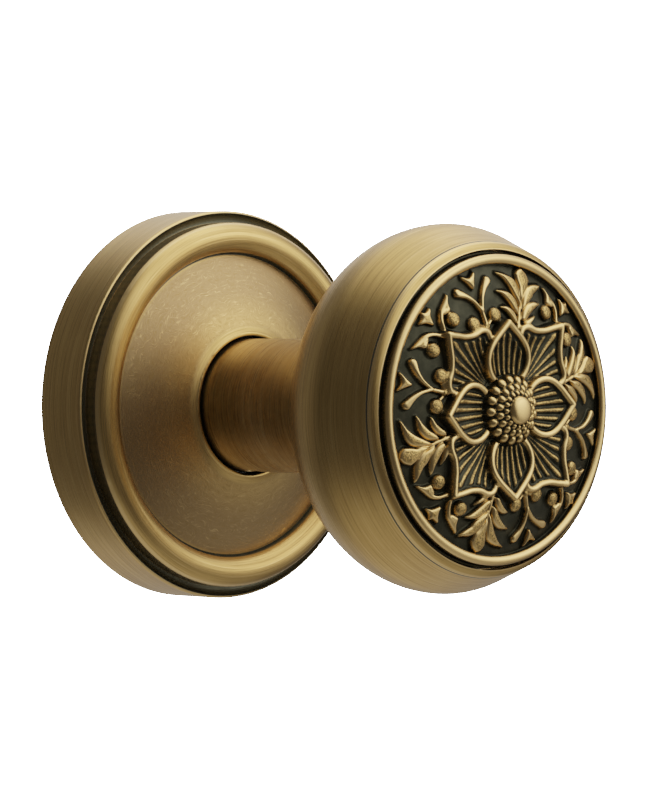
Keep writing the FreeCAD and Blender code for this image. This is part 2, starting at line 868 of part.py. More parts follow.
def knob_shell():
    """The hollow brass body of the knob, with a bevelled lip around the medallion's seat."""
    turned(
        "knob_shell",
        [
            (size.spigot_radius, size.neck_end_z),
            (size.neck_foot, size.neck_end_z, size.shell_back_curve),
            (size.shell_corner, size.shell_corner_z, size.shell_corner_curve),
            (size.shell_radius, size.shell_widest_z, size.shell_front_curve),
            (size.shell_cone, size.shell_cone_z),
            (size.ring_outer, size.ring_outer_z, size.ring_curve),
            (size.ring_inner, size.ring_inner_z),
            (size.ring_inner, size.seat_z),
            (size.seat_bore, size.seat_z),
            (size.seat_bore, size.seat_back_z),
            (size.shell_inner_cone, size.shell_inner_cone_z),
            (
                size.shell_radius - size.shell_wall,
                size.shell_widest_z,
                size.shell_wall - size.shell_corner_curve,
            ),
            (
                size.shell_inner_corner,
                size.shell_inner_corner_z,
                size.shell_wall - size.shell_back_curve,
            ),
            (size.shell_floor_radius, size.spigot_z),
            (size.spigot_radius, size.spigot_z),
        ],
    )


def petals(body, name, turn, tip, half, middle, curve, top):
    """Adds a pointed petal above the field, and repeats it round the medallion."""
    leaf = sketch_on(body, "XY_Plane", name, size.petal_root_z, turn)
    root_half = size.petal_root / 2
    outline(
        leaf,
        [
            (tip, zero, curve),
            (middle, half, curve * 2),
            (size.petal_root, root_half),
            (size.petal_root, -root_half, curve * 2),
            (middle, -half, curve),
        ],
    )
    repeat(body, pad(body, leaf, top - size.petal_root_z), leaf, PETAL_COUNT)


def face_medallion():
    """The cast face: a flange in the shell's seat, a raised rim, a domed field and a flower."""
    body = turned(
        "face_medallion",
        [
            (zero, size.nut_back_z),
            (size.nut_radius, size.nut_back_z),
            (size.nut_radius, size.seat_z),
            (size.medal_flange, size.seat_z),
            (size.medal_flange, size.medal_flange_z),
            (size.medal_radius, size.medal_flange_z),
            (size.medal_radius, size.medal_rim_z, size.medal_rim_curve),
            (size.field_radius, size.medal_rim_z),
            (size.field_radius, size.field_z),
            (size.field_middle, size.field_middle_z),
            (size.dome_radius, size.dome_foot_z),
            (size.dome_radius, size.dome_side_z),
            (size.bead_ring, size.bead_ring_z),
            (size.button_radius, size.button_z),
            (size.button_radius, size.button_side_z),
            (zero, size.button_top_z),
        ],
    )
    thread = sketch_on(body, "XY_Plane", "thread", size.nut_thread_z)
    round_hole(thread, zero, zero, size.bolt_radius)
    pocket(body, thread, size.nut_thread_z - size.nut_back_z)
    petals(
        body,
        "back_petal",
        size.flower_turn.value + size.petal_spacing.value / 2,
        size.back_petal_tip,
        size.back_petal_half,
        size.back_petal_middle,
        size.back_petal_curve,
        size.back_petal_top_z,
    )
    petals(
        body,
        "front_petal",
        size.flower_turn.value,
        size.front_petal_tip,
        size.front_petal_half,
        size.front_petal_middle,
        size.front_petal_curve,
        size.front_petal_top_z,
    )


def check_and_write():
    """Stops if any object failed, and writes each sub-part to its own file."""
    doc.recompute()
    for thing in doc.Objects:
        if "Invalid" in thing.State or "Error" in thing.State:
            raise RuntimeError(f"{thing.Name} failed: {thing.State}")
    for sub_part in sub_parts:
        shape = sub_part.Shape
        if shape.isNull() or not shape.isValid():
            raise RuntimeError(f"{sub_part.Label} has no valid shape")
        shape.exportStep(f"parts/{sub_part.Label}.step")


rosette_cover()
mounting_plate()
shank_bush()
threaded_post("upper_post", size.post_offset.value)
threaded_post("lower_post", -size.post_offset.value)
spring_housing()
ring("housing_lid", size.lid_hole, size.housing_bore, size.lid_z, size.housing_z)
ring(
    "thrust_washer",
    size.washer_bore,
    size.washer_radius,
    size.housing_z,
    size.housing_z + size.washer_thick,
)
return_spring()
rivets(
    "housing_rivets",
    [(size.ear_reach, zero), (-size.ear_reach, zero)],
    size.bush_flange_z,
)
for clip_number in range(1, CLIP_COUNT + 1):
    cover_clip(clip_number)
rivets(
    "clip_rivets",
    [
        polar(size.clip_rivet_radius, size.clip_start_angle + FULL_TURN / CLIP_COUNT * turn)
        for turn in range(CLIP_COUNT)
    ],
    size.plate_thick + size.clip_thick,
)
knob_neck()
retaining_ring()
shim_washer()
return_cam()
spindle()
set_screw()
tie_washer()
tie_bolt()
knob_shell()
face_medallion()
check_and_write()
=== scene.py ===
import math

import bpy
import numpy as np
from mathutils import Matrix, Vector


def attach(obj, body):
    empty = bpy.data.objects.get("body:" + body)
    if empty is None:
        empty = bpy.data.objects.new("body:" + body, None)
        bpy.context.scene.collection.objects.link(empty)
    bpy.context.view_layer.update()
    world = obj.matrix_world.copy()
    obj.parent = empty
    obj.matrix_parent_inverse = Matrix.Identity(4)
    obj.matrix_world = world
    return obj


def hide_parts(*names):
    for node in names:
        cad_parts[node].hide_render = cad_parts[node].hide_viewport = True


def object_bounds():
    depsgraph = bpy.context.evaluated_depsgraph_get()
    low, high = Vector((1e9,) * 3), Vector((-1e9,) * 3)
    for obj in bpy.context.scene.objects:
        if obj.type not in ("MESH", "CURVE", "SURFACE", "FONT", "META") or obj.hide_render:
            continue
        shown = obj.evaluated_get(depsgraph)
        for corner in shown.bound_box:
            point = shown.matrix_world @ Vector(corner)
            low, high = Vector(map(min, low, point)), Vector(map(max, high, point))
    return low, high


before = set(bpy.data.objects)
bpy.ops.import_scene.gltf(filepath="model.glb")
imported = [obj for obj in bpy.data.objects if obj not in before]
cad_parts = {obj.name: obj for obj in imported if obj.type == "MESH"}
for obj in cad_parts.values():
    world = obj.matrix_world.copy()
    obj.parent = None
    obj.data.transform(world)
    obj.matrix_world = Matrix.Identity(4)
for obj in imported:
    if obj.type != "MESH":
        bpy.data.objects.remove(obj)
cad_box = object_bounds()

# A door knob of antique satin brass on its rosette. The knob turns about the Y axis, and its face
# looks along -Y. Lengths in the code below are in millimetres until MM turns them into metres.
MM = 0.001

# ---------------------------------------------------------------------------------------------
# Node trees


class Net:
    """A node tree under construction. Its methods take sockets or numbers and give a socket back,
    apart from the last two, which take whole shader nodes."""

    def __init__(self, tree):
        self.tree = tree
        tree.nodes.clear()

    def add(self, kind, **settings):
        node = self.tree.nodes.new("ShaderNode" + kind)
        for key, value in settings.items():
            setattr(node, key, value)
        return node

    def feed(self, socket, value):
        if isinstance(value, bpy.types.NodeSocket):
            self.tree.links.new(value, socket)
        elif value is not None:
            socket.default_value = value

    def math(self, operation, *values):
        node = self.add("Math", operation=operation)
        for socket, value in zip(node.inputs, values):
            self.feed(socket, value)
        return node.outputs[0]

    def times(self, a, b):
        return self.math("MULTIPLY", a, b)

    def plus(self, a, b):
        return self.math("ADD", a, b)

    def minus(self, a, b):
        return self.math("SUBTRACT", a, b)

    def vector(self, operation, a, b):
        node = self.add("VectorMath", operation=operation)
        self.feed(node.inputs[0], a)
        self.feed(node.inputs["Scale" if operation == "SCALE" else 1], b)
        return node.outputs["Value" if operation == "DOT_PRODUCT" else "Vector"]

    def join(self, x, y, z):
        node = self.add("CombineXYZ")
        for socket, value in zip(node.inputs, (x, y, z)):
            self.feed(socket, value)
        return node.outputs[0]

    def remap(self, value, low, high, out_low=0.0, out_high=1.0, kind="SMOOTHSTEP"):
        node = self.add("MapRange", interpolation_type=kind, clamp=True)
        for socket, number in zip(node.inputs, (value, low, high, out_low, out_high)):
            self.feed(socket, number)
        return node.outputs[0]

    def blend(self, factor, a, b):
        node = self.add("Mix", data_type="RGBA")
        self.feed(node.inputs[0], factor)
        for socket, value in zip(node.inputs[6:8], (a, b)):
            self.feed(socket, (*value, 1.0) if isinstance(value, tuple) else value)
        return node.outputs[2]

    def noise(self, vector, scale=1.0, detail=2.0, rough=0.5, fourth=None):
        node = self.add("TexNoise", noise_dimensions="3D" if fourth is None else "4D")
        self.feed(node.inputs["Vector"], vector)
        if fourth is not None:
            self.feed(node.inputs["W"], fourth)
        node.inputs["Scale"].default_value = scale
        node.inputs["Detail"].default_value = detail
        node.inputs["Roughness"].default_value = rough
        return node.outputs["Fac"]

    def attribute(self, name):
        return self.add("Attribute", attribute_name=name).outputs["Fac"]

    def finish(self, shader, kind="OutputMaterial"):
        output = self.add(kind)
        self.tree.links.new(shader.outputs[0], output.inputs["Surface"])

    def seen_or_not(self, seen, otherwise):
        """One shader for what the camera looks at, and another for every other ray."""
        mix = self.add("MixShader")
        self.feed(mix.inputs[0], self.add("LightPath").outputs["Is Camera Ray"])
        self.tree.links.new(otherwise.outputs[0], mix.inputs[1])
        self.tree.links.new(seen.outputs[0], mix.inputs[2])
        return mix


class Turned:
    """Sockets for a turned piece's own coordinates, in millimetres: the radius from the Y axis, the
    height in front of the door, and the unit direction around the axis."""

    def __init__(self, net):
        self.net = net
        self.point = net.vector("SCALE", net.add("TexCoord").outputs["Object"], 1 / MM)
        split = net.add("SeparateXYZ")
        net.feed(split.inputs[0], self.point)
        x, y, z = split.outputs
        self.height = net.times(y, -1.0)
        self.radius = net.math("SQRT", net.plus(net.times(x, x), net.times(z, z)))
        self.across = net.math("DIVIDE", x, self.radius)
        self.up = net.math("DIVIDE", z, self.radius)

    def brushed(self, around, fine, shift=None):
        """Noise drawn out around the axis: `around` sets how short the strokes are and `fine` how
        many there are to the millimetre."""
        net = self.net
        radius = self.radius if shift is None else net.plus(self.radius, shift)
        vector = net.join(
            net.times(self.across, around), net.times(self.up, around), net.times(radius, fine)
        )
        return net.noise(vector, detail=2.0, rough=0.55, fourth=net.times(self.height, fine))

    def band(self, centre, half, soft):
        """1 within `half` of the radius `centre`, fading to 0 over `soft`."""
        away = self.net.math("ABSOLUTE", self.net.minus(self.radius, centre))
        return self.net.remap(away, half, half + soft, 1.0, 0.0)

    def between(self, low, high, soft=0.4):
        """1 where the radius is from `low` to `high`, fading to 0 over `soft` on either side."""
        net = self.net
        return net.times(
            net.remap(self.radius, low - soft, low + soft),
            net.remap(self.radius, high - soft, high + soft, 1.0, 0.0),
        )


def new_material(name):
    material = bpy.data.materials.new(name)
    material.use_nodes = True
    return material, Net(material.node_tree)


def finish_material(net, colour, metallic, rough, height, depth, **constants):
    """Closes a tree with one Principled shader, and a bump of `depth` millimetres."""
    shader = net.add("BsdfPrincipled")
    net.feed(shader.inputs["Base Color"], (*colour, 1.0) if isinstance(colour, tuple) else colour)
    net.feed(shader.inputs["Metallic"], metallic)
    net.feed(shader.inputs["Roughness"], rough)
    for name, value in constants.items():
        shader.inputs[name.replace("_", " ")].default_value = value
    bump = net.add("Bump")
    bump.inputs["Distance"].default_value = depth * MM
    net.feed(bump.inputs["Height"], height)
    net.tree.links.new(bump.outputs[0], shader.inputs["Normal"])
    net.finish(shader)
    return shader


def comb_around(net, shader, amount):
    """Draws the shader's highlights out across strokes that run around the Y axis."""
    shader.inputs["Anisotropic"].default_value = amount
    tangent = net.add("Tangent", direction_type="RADIAL", axis="Y")
    net.tree.links.new(tangent.outputs[0], shader.inputs["Tangent"])


# ---------------------------------------------------------------------------------------------
# Antique brass

BRASS = (0.57, 0.372, 0.132)
BRASS_BRIGHT = (0.72, 0.50, 0.22)
BRASS_DEEP = (0.44, 0.275, 0.090)
# A lighter, yellower copy of the brass for the neck: painted light that lifts it out of the shade
# between the knob and the rosette.
NECK_LIT_BRASS = (0.66, 0.50, 0.26)
STROKE_DARK = (0.30, 0.19, 0.065)
# The dish's browner, darker tone, strongest towards its outer edge.
DISH_OUTER_BROWN = (0.31, 0.205, 0.098)
PATINA = (0.044, 0.041, 0.024)
PATINA_DEEP = (0.026, 0.025, 0.014)
# Dark finish left in the hollows; the same colour also paints the shade in the gap round the neck
# and at the foot of the knob's lip.
GROOVE_PATINA_AND_SHADE = (0.105, 0.098, 0.062)
BRASS_ROUGH = 0.34
PATINA_ROUGH = 0.42

# Bands on the turned pieces: centre radius, half width and soft edge, in millimetres.
# Painted highlight: brighter brass along the rosette's front edge.
COVER_EDGE_HIGHLIGHT = (31.45, 0.15, 0.15)
COVE = (30.6, 0.60, 0.40)
# Painted highlight: brighter brass along the bead's outer edge.
BEAD_EDGE_HIGHLIGHT = (29.7, 0.12, 0.2)
DISH_CREASE = (24.75, 0.02, 0.40)
# Painted shade: a dark ring on the cover in the gap round the neck.
NECK_GAP_SHADE = (11.3, 0.05, 0.15)
# Painted shade: a thin dark line where the knob's body meets its lip, in place of the shade of a
# step.
LIP_FOOT_SHADE = (26.17, 0.01, 0.07)
# Painted highlights: brighter brass along the outer and inner edges of the knob's lip.
LIP_OUTER_HIGHLIGHT = (26.05, 0.12, 0.15)
LIP_INNER_HIGHLIGHT = (24.95, 0.06, 0.10)
LIP_GROOVE = (23.6, 1.15, 0.15)
# The dish between its lip and its crease, and the height that the knob's lip starts from.
DISH = (12.8, 24.4)
# Millimetres out from the dish's inner edge over which it grows browner and darker.
DISH_OUTER_BROWN_FADE = 7.0
LIP_START = 68.0


def crossed_strokes(net, turned, strokes, inside):
    """Swaps most of the long strokes for short ones that cross each other, where inside is 1."""
    wander = net.noise(turned.point, scale=0.22, detail=1.0)
    counter = net.noise(turned.point, scale=0.31, detail=1.0, fourth=7.0)
    first = turned.brushed(around=9.0, fine=4.0, shift=net.times(wander, 9.0))
    second = turned.brushed(around=7.0, fine=5.0, shift=net.times(counter, -8.0))
    crossed = net.minus(net.math("MAXIMUM", first, second), 0.05)
    share = net.times(inside, 0.75)
    return net.plus(net.times(strokes, net.minus(1.0, share)), net.times(crossed, share))


def antique_brass(name, light=BRASS, dish=None, dark_bands=(), bright_bands=(), bands_from=0.0):
    """Satin brass, brushed around the Y axis. The dark bands darken it: the dark finish left in the
    cove and the lip's groove, a dark line along the dish's crease, and painted shade in the gap
    round the neck and at the foot of the knob's lip. The bright bands are painted highlights along
    edges. Both count only above the height bands_from. dish is the (low, high) radius of a
    surface with short crossing strokes, browner and darker towards its outer edge."""
    material, net = new_material(name)
    turned = Turned(net)
    long_strokes = turned.brushed(around=1.6, fine=4.5)
    fine_strokes = turned.brushed(around=5.0, fine=9.0)
    wide_strokes = turned.brushed(around=1.1, fine=0.9)
    mottle = net.noise(turned.point, scale=0.11, detail=3.0)
    strokes = net.plus(net.times(long_strokes, 0.65), net.times(fine_strokes, 0.35))
    tone = net.remap(net.plus(net.times(wide_strokes, 0.6), net.times(mottle, 0.4)), 0.35, 0.65)
    colour = net.blend(net.remap(tone, 0.0, 1.0, 0.0, 0.45), light, BRASS_DEEP)
    if dish:
        inside = turned.between(*dish)
        strokes = crossed_strokes(net, turned, strokes, inside)
        # Browner and darker towards the dish's outer edge.
        outer_brown = net.remap(turned.radius, dish[0], dish[0] + DISH_OUTER_BROWN_FADE, 0.45, 0.92)
        colour = net.blend(net.times(outer_brown, inside), colour, DISH_OUTER_BROWN)
    colour = net.blend(net.remap(strokes, 0.50, 0.36, 0.0, 0.55), colour, STROKE_DARK)
    colour = net.blend(net.remap(strokes, 0.52, 0.70, 0.0, 0.55), colour, BRASS_BRIGHT)
    ahead = net.remap(turned.height, bands_from, bands_from + 0.2)
    # Painted highlights: brighter brass along the edges in the bright bands.
    for band in bright_bands:
        edge = net.times(turned.band(*band), ahead)
        colour = net.blend(net.times(edge, 0.8), colour, BRASS_BRIGHT)
    metal = 1.0
    rough = net.remap(strokes, 0.3, 0.7, BRASS_ROUGH + 0.06, BRASS_ROUGH - 0.04, "LINEAR")
    if dark_bands:
        dark = 0.0
        for band in dark_bands:
            dark = net.math("MAXIMUM", dark, net.times(turned.band(*band), ahead))
        # Dark finish in the hollows, and painted shade in the gap round the neck and at the foot of
        # the knob's lip.
        patina_and_shade = net.remap(net.plus(dark, net.times(mottle, 0.25)), 0.35, 0.85)
        colour = net.blend(patina_and_shade, colour, GROOVE_PATINA_AND_SHADE)
        metal = net.remap(patina_and_shade, 0.0, 1.0, 1.0, 0.85)
        rough = net.plus(rough, net.times(patina_and_shade, PATINA_ROUGH - BRASS_ROUGH))
    shader = finish_material(
        net, colour, metal, rough, strokes, depth=0.045, Coat_Weight=0.05, Coat_Roughness=0.35
    )
    comb_around(net, shader, amount=0.45)
    return material


def relief_brass():
    """The cast face: a dark finish left in the recesses, rubbed through to brass on what stands
    up. The mesh says how far each point is rubbed, and where the surface is grained."""
    material, net = new_material("relief_brass_finish")
    turned = Turned(net)
    rubbed = net.attribute("rubbed")
    grained = net.attribute("grained")
    speck = net.noise(turned.point, scale=3.6, detail=2.0, rough=0.6)
    drift = net.noise(turned.point, scale=0.5, detail=2.0)
    fine = net.noise(turned.point, scale=9.0, detail=1.0)
    uneven = net.plus(net.times(net.minus(speck, 0.5), 0.5), net.times(net.minus(drift, 0.5), 0.4))
    bare = net.remap(net.plus(rubbed, uneven), 0.25, 0.75)
    pit = net.times(net.remap(speck, 0.52, 0.42), grained)
    bare = net.times(bare, net.minus(1.0, net.times(pit, 0.55)))
    tone = net.blend(net.remap(drift, 0.35, 0.65, 0.0, 0.5), BRASS, BRASS_DEEP)
    tone = net.blend(net.remap(rubbed, 0.75, 1.0, 0.0, 0.7), tone, BRASS_BRIGHT)
    dark = net.blend(net.remap(drift, 0.3, 0.7), PATINA_DEEP, PATINA)
    colour = net.blend(bare, dark, tone)
    metal = net.remap(bare, 0.0, 1.0, 0.93, 1.0)
    rough = net.remap(bare, 0.0, 1.0, PATINA_ROUGH, 0.30)
    rough = net.plus(rough, net.times(grained, 0.10))
    height = net.plus(net.times(speck, grained), net.times(fine, 0.12))
    finish_material(
        net, colour, metal, rough, height, depth=0.10, Coat_Weight=0.04, Coat_Roughness=0.3
    )
    return material


# ---------------------------------------------------------------------------------------------
# Steel, bronze and nylon, seen from behind


def plain_metal(name, light, dark, rough, strokes_around=None, grain=0.0):
    """A worked metal: two tones in soft patches, with strokes or grain in its roughness and bump.
    strokes_around is given for a piece turned about the Y axis."""
    material, net = new_material(name)
    turned = Turned(net)
    patches = net.noise(turned.point, scale=0.35, detail=3.0)
    texture = net.noise(turned.point, scale=3.0, detail=3.0, rough=0.6)
    if strokes_around:
        texture = turned.brushed(strokes_around, fine=5.0)
    speckle = net.noise(turned.point, scale=8.0, detail=1.0)
    texture = net.plus(net.times(texture, 1.0 - grain), net.times(speckle, grain))
    colour = net.blend(net.remap(patches, 0.35, 0.65), light, dark)
    colour = net.blend(net.remap(texture, 0.35, 0.65, 0.0, 0.35), colour, dark)
    roughness = net.remap(texture, 0.3, 0.7, rough - 0.06, rough + 0.08, "LINEAR")
    shader = finish_material(net, colour, 1.0, roughness, texture, depth=0.008)
    if strokes_around:
        comb_around(net, shader, amount=0.3)
    return material


def zinc_steel():
    """Zinc plate: bluish and faintly spangled."""
    material, net = new_material("zinc_steel_finish")
    turned = Turned(net)
    cells = net.add("TexVoronoi", feature="F1")
    cells.inputs["Scale"].default_value = 0.9
    net.feed(cells.inputs["Vector"], turned.point)
    split = net.add("SeparateColor")
    net.feed(split.inputs[0], cells.outputs["Color"])
    spangle = split.outputs[0]
    haze = net.noise(turned.point, scale=0.3, detail=3.0)
    grain = net.noise(turned.point, scale=5.0, detail=2.0)
    colour = net.blend(net.remap(haze, 0.3, 0.7), (0.56, 0.58, 0.60), (0.42, 0.44, 0.46))
    colour = net.blend(net.times(spangle, 0.35), colour, (0.70, 0.72, 0.74))
    rough = net.plus(net.remap(spangle, 0.0, 1.0, 0.30, 0.42), net.times(haze, 0.08))
    finish_material(net, colour, 1.0, rough, grain, depth=0.01)
    return material


def nylon():
    """Natural nylon: slightly milky, with a faint moulded grain."""
    material, net = new_material("nylon_finish")
    turned = Turned(net)
    haze = net.noise(turned.point, scale=0.4, detail=2.0)
    grain = net.noise(turned.point, scale=6.0, detail=2.0)
    colour = net.blend(haze, (0.78, 0.75, 0.66), (0.86, 0.84, 0.77))
    rough = net.remap(grain, 0.3, 0.7, 0.38, 0.52)
    finish_material(net, colour, 0.0, rough, grain, depth=0.01, Subsurface_Weight=0.15)
    return material


def give_finishes():
    """Gives every CAD node the finish of its material slot."""
    bronze = plain_metal(
        "bronze_finish", (0.66, 0.42, 0.24), (0.46, 0.27, 0.14), rough=0.36, strokes_around=3.0
    )
    steel = plain_metal(
        "turned_steel_finish", (0.56, 0.55, 0.53), (0.40, 0.39, 0.38), rough=0.34
    )
    rivet = plain_metal(
        "rivet_steel_finish", (0.60, 0.59, 0.57), (0.44, 0.43, 0.42), rough=0.40, grain=0.3
    )
    spring = plain_metal(
        "spring_steel_finish", (0.34, 0.33, 0.32), (0.20, 0.20, 0.20), rough=0.32
    )
    black = plain_metal(
        "black_steel_finish", (0.060, 0.058, 0.055), (0.030, 0.030, 0.030), rough=0.42
    )
    zinc = zinc_steel()
    finishes = {
        "rosette_cover": antique_brass(
            "rosette_brass_finish",
            dish=DISH,
            # Dark finish in the cove, a dark line along the crease, and painted shade in the gap
            # round the neck.
            dark_bands=(COVE, DISH_CREASE, NECK_GAP_SHADE),
            # Painted highlights along the rosette's front edge and the bead's outer edge.
            bright_bands=(COVER_EDGE_HIGHLIGHT, BEAD_EDGE_HIGHLIGHT),
        ),
        # The neck's brass is a lighter copy of the others: painted light against the shade near the
        # rosette.
        "knob_neck": antique_brass("neck_lit_brass_finish", light=NECK_LIT_BRASS),
        "knob_shell": antique_brass(
            "knob_brass_finish",
            # Dark finish in the lip's groove, and painted shade at the lip's foot.
            dark_bands=(LIP_GROOVE, LIP_FOOT_SHADE),
            # Painted highlights along the outer and inner edges of the lip.
            bright_bands=(LIP_OUTER_HIGHLIGHT, LIP_INNER_HIGHLIGHT),
            bands_from=LIP_START,
        ),
        "face_medallion": relief_brass(),
        "shank_bush": bronze,
        "mounting_plate": zinc,
        "spring_housing": zinc,
        "housing_lid": zinc,
        "return_cam": zinc,
        "housing_rivets": rivet,
        "clip_rivets": rivet,
        "upper_post": steel,
        "lower_post": steel,
        "spindle": steel,
        "return_spring": spring,
        "cover_clip_1": spring,
        "cover_clip_2": spring,
        "cover_clip_3": spring,
        "retaining_ring": spring,
        "shim_washer": spring,
        "tie_washer": spring,
        "set_screw": black,
        "tie_bolt": black,
        "thrust_washer": nylon(),
    }
    for node, material in finishes.items():
        for holder in bpy.data.objects[node].material_slots:
            holder.material = material
    return finishes


# ---------------------------------------------------------------------------------------------
# The cast face. Its pattern is drawn in a plane: x to the right and y up, seen from the front.

FIELD_EDGE = 22.6
FIELD_EDGE_HEIGHT = 71.3
FIELD_BULGE = 2.2
DOME_EDGE = 5.2
DOME_EDGE_HEIGHT = 73.76
FLOWER_TURN = math.radians(3.0)
# Points along each side of the grid that carries the pattern, and points along each curve's span.
GRID = 321
CURVE_STEPS = 7
# More than any distance on the face.
FAR = 1e9


def smooth(low, high, value):
    t = np.clip((value - low) / (high - low), 0.0, 1.0)
    return t * t * (3.0 - 2.0 * t)


def dome(share, power=2):
    """1 at share 0, falling to 0 at share 1: a half circle, or a flatter top for a high power."""
    return np.sqrt(np.clip(1.0 - share**power, 0.0, 1.0))


def curve_through(points):
    """A Catmull-Rom curve through the points, as an array of its own points."""
    points = [np.array(p, float) for p in points]
    chain = [2 * points[0] - points[1], *points, 2 * points[-1] - points[-2]]
    out = []
    for a, b, c, d in zip(chain, chain[1:], chain[2:], chain[3:]):
        for t in np.arange(CURVE_STEPS) / CURVE_STEPS:
            out.append(
                0.5 * (2 * b + (c - a) * t + (2 * a - 5 * b + 4 * c - d) * t**2
                       + (3 * b - a - 3 * c + d) * t**3)
            )
    out.append(points[-1])
    return np.array(out)


def outline_of(*runs):
    """A closed outline from smooth runs of points that meet in sharp corners."""
    return np.concatenate([curve_through(run)[:-1] for run in runs])


def both_sides(half):
    """An outline that is the same on both sides of s = 0, from the run of its upper half."""
    return outline_of(half, [(t, -s) for t, s in reversed(half)])


class Relief:
    """The heights of the cast face over a disc of points, and how far each point is rubbed."""

    def __init__(self, x, y):
        radius = np.hypot(x, y)
        self.radius = radius
        c, s = math.cos(FLOWER_TURN), math.sin(FLOWER_TURN)
        self.x = x * c + y * s
        self.y = -x * s + y * c
        share = (FIELD_EDGE - radius) / (FIELD_EDGE - DOME_EDGE)
        rise = 1.0 - np.clip(1.0 - share, 0.0, 1.0) ** FIELD_BULGE
        self.floor = FIELD_EDGE_HEIGHT + (DOME_EDGE_HEIGHT - FIELD_EDGE_HEIGHT) * rise
        self.height = self.floor.copy()
        self.rubbed = np.zeros_like(x)
        self.grained = np.zeros_like(x)

    def place(self, points, ray, flip=1):
        """Points given as (t out along a ray, s to its side) in the pattern's plane."""
        points = np.asarray(points, float)
        a = math.radians(ray)
        t, s = points[:, 0], points[:, 1] * flip
        return np.stack([t * math.cos(a) - s * math.sin(a), t * math.sin(a) + s * math.cos(a)], 1)

    def near(self, points, margin):
        """The numbers of the grid's points in a box around the given points."""
        low = points.min(0) - margin
        high = points.max(0) + margin
        return np.flatnonzero(
            (self.x > low[0]) & (self.x < high[0]) & (self.y > low[1]) & (self.y < high[1])
        )

    def inside_by(self, where, outline):
        """How far each point lies inside a closed outline; less than 0 outside."""
        px, py = self.x[where], self.y[where]
        best = np.full(px.shape, FAR)
        inside = np.zeros(px.shape, bool)
        for (ax, ay), (bx, by) in zip(outline, np.roll(outline, -1, 0)):
            dx, dy = bx - ax, by - ay
            run = dx * dx + dy * dy
            if run == 0:
                continue
            t = np.clip(((px - ax) * dx + (py - ay) * dy) / run, 0.0, 1.0)
            best = np.minimum(best, (px - ax - t * dx) ** 2 + (py - ay - t * dy) ** 2)
            crosses = (ay > py) != (by > py)
            if dy != 0:
                inside ^= crosses & (px < ax + (py - ay) * dx / dy)
        return np.where(inside, 1.0, -1.0) * np.sqrt(best)

    def along_line(self, where, line, widths):
        """Each point's distance from a line as a share of the line's half width there."""
        px, py = self.x[where], self.y[where]
        best = np.full(px.shape, FAR)
        widths = np.interp(np.linspace(0, 1, len(line)), np.linspace(0, 1, len(widths)), widths)
        for (ax, ay), (bx, by), wa, wb in zip(line[:-1], line[1:], widths[:-1], widths[1:]):
            dx, dy = bx - ax, by - ay
            run = max(dx * dx + dy * dy, 1 / FAR)
            t = np.clip(((px - ax) * dx + (py - ay) * dy) / run, 0.0, 1.0)
            away = np.hypot(px - ax - t * dx, py - ay - t * dy) / (wa + (wb - wa) * t)
            best = np.minimum(best, away)
        return best

    def raise_to(self, where, height, rubbed, grained=0.0):
        """Keeps the higher of what is there and `height`."""
        over = height > self.height[where]
        chosen = where[over]
        self.height[chosen] = height[over]
        self.rubbed[chosen] = np.broadcast_to(rubbed, height.shape)[over]
        self.grained[chosen] = np.broadcast_to(grained, height.shape)[over]

    def leaf(self, outline, tall, edge=0.38):
        """A flat-topped leaf with sheer sides, its edge rubbed brighter than its grained top."""
        spread, side_width, crown_place, crown_width = 0.13, 0.22, 0.42, 0.2
        where = self.near(outline, 0.3)
        inside = self.inside_by(where, outline) + spread
        rise = smooth(-side_width, edge - 0.1, inside)
        crown = 0.10 * np.exp(-(((inside - crown_place) / crown_width) ** 2))
        keel = 0.16 * smooth(0.3, 1.1, inside)
        top = self.floor[where] + tall * rise + (crown + keel) * rise
        rubbed = smooth(0.35, 0.8, rise) * (1.0 - 0.30 * smooth(0.35, 0.7, inside))
        grained = smooth(0.4, 0.7, inside)
        keep = rise > 0
        self.raise_to(where[keep], top[keep], rubbed[keep], grained[keep])

    def stem(self, points, widths, ray, flip=1, *, tall):
        """A half-round stem whose half width follows `widths` along its points."""
        foot, shoulder = 1.12, 0.86
        line = self.place(curve_through(points), ray, flip)
        where = self.near(line, max(widths) + 0.2)
        share = self.along_line(where, line, widths)
        rise = dome(share, 4) * smooth(foot, shoulder, share)
        top = self.floor[where] + tall * rise
        rubbed = smooth(0.35, 0.8, rise) * 0.97
        keep = share < foot
        self.raise_to(where[keep], top[keep], rubbed[keep])

    def berry(self, centre, ray, flip=1, *, reach, tall):
        """A round berry with a flattened, grained top."""
        foot, shoulder, swell = 1.12, 0.88, 0.12
        middle = self.place([centre], ray, flip)
        where = self.near(middle, reach * 1.3)
        away = np.hypot(self.x[where] - middle[0, 0], self.y[where] - middle[0, 1]) / reach
        rise = dome(away, 4) * smooth(foot, shoulder, away)
        rise = rise * (1.0 + swell * (1.0 - away**2))
        top = self.floor[where] + tall * rise
        rubbed = smooth(0.35, 0.75, rise) * (0.70 + 0.25 * smooth(0.55, 0.85, away))
        grained = smooth(0.95, 0.75, away)
        keep = away < foot
        self.raise_to(where[keep], top[keep], rubbed[keep], grained[keep])


PETAL_RIM = 0.62
RIM_INNER_SIDE = 0.7 * PETAL_RIM
RIM_OUTER_SIDE = 0.8 * PETAL_RIM
RIB_HEIGHT = 0.42


def petal_rim(rim_top, inside):
    """Heights of a petal's rounded rim and of the steep wall that drops from its outer side, and
    how round the rim is at each point: 1 on its crest."""
    crest = dome(np.minimum(np.abs(inside) / PETAL_RIM, 1.0))
    rim = rim_top - 0.85 * PETAL_RIM * (1.0 - crest)
    beyond = -inside - RIM_OUTER_SIDE
    wall = rim_top - 0.35 - (1.0 - np.exp(-np.maximum(beyond, 0.0) / 0.12)) - 4.0 * beyond
    return np.where(beyond > 0, np.minimum(rim, wall), rim), crest


